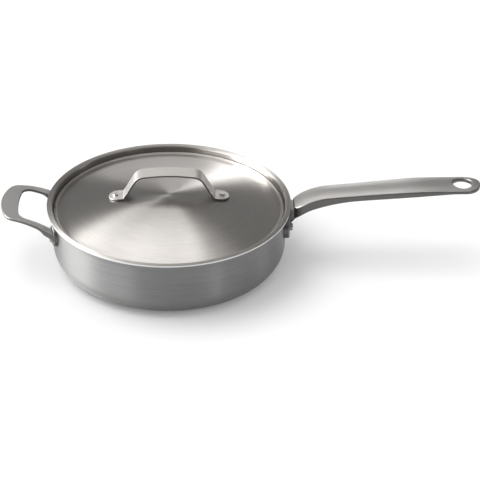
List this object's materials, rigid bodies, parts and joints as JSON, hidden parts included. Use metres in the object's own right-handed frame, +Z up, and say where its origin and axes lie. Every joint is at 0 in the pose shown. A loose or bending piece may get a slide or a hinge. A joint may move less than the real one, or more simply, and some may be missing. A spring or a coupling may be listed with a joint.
{
  "type": "saute pan with lid",
  "caption": "Straight-sided steel saute pan with a riveted long handle, a riveted helper loop and a domed lid with a strap handle.",
  "frame": {"origin": "centre of the pan's flat underside, on the surface it stands on", "axes": "+Z up along the pan's axis, +X along the long handle, -X to the helper handle"},
  "size_m": [0.5493, 0.28, 0.113],
  "materials": {
    "brushed_wall": "brushed round the wall",
    "polished_inside": "finely brushed, brighter than the wall",
    "core": "plain cut edge",
    "brushed_lid": "brushed in circles round the middle",
    "satin_cast": "bead-blasted satin",
    "rivet": "smooth satin"
  },
  "bodies": {
    "pan": {"pan_outer_layer": "brushed_wall", "pan_core": "core", "pan_inner_layer": "polished_inside", "long_handle": "satin_cast", "long_handle_rivet_front": "rivet", "long_handle_rivet_rear": "rivet", "helper_handle": "satin_cast", "helper_rivet_front": "rivet", "helper_rivet_rear": "rivet"},
    "lid": {"lid": "brushed_lid", "lid_handle": "satin_cast", "lid_rivet_left": "rivet", "lid_rivet_right": "rivet"}
  },
  "joints": [
    {"name": "lid_lift", "type": "slide", "parent": "pan", "child": "lid", "axis": [0, 0, 1], "range_m": [0, 0.15]}
  ]
}
